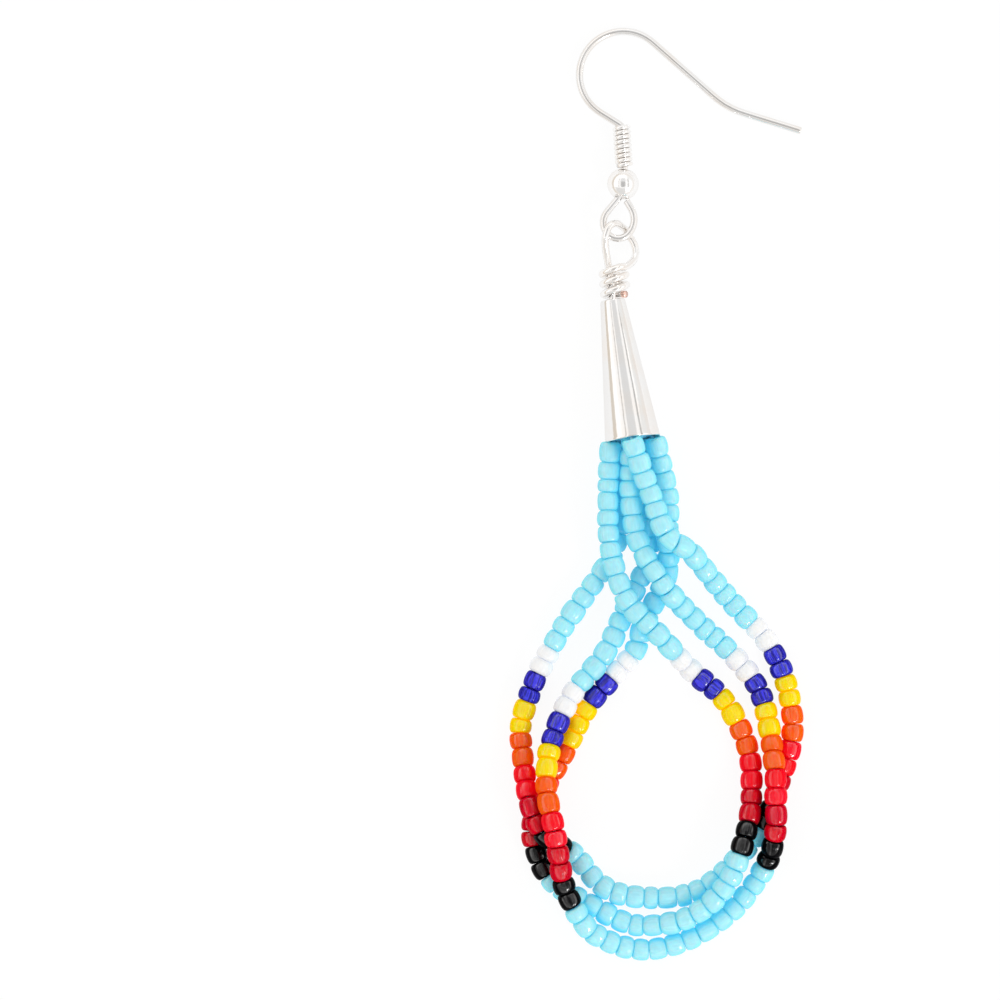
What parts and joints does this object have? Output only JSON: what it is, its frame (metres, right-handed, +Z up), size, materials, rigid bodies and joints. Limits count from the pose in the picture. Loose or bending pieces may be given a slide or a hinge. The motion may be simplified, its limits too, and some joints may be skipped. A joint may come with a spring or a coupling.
{
  "type": "beaded earring",
  "caption": "Drop earring: a fish-hook ear wire with coil and ball, a wrapped wire drop, a slim cone and crossing loops of banded seed beads, lying flat.",
  "frame": {"origin": "centre of the part's box, on the surface that the earring lies on", "axes": "+Y along the earring, from the bottom of the loops to the arch of the hook; +Z up, off the surface that it lies on; +X towards the free end of the hook"},
  "size_m": [0.0278, 0.0885, 0.0065],
  "materials": {
    "silver_plate": "polished",
    "glass_beads": "gloss",
    "thread": "matt"
  },
  "bodies": {
    "root": {"ear_hook": "silver_plate", "hook_coil": "silver_plate", "hook_ball": "silver_plate", "drop_wire": "silver_plate", "cone": "silver_plate", "thread_tie": "thread", "bead_loop_outer": "glass_beads", "bead_loop_middle": "glass_beads", "bead_loop_inner": "glass_beads"}
  },
  "joints": []
}
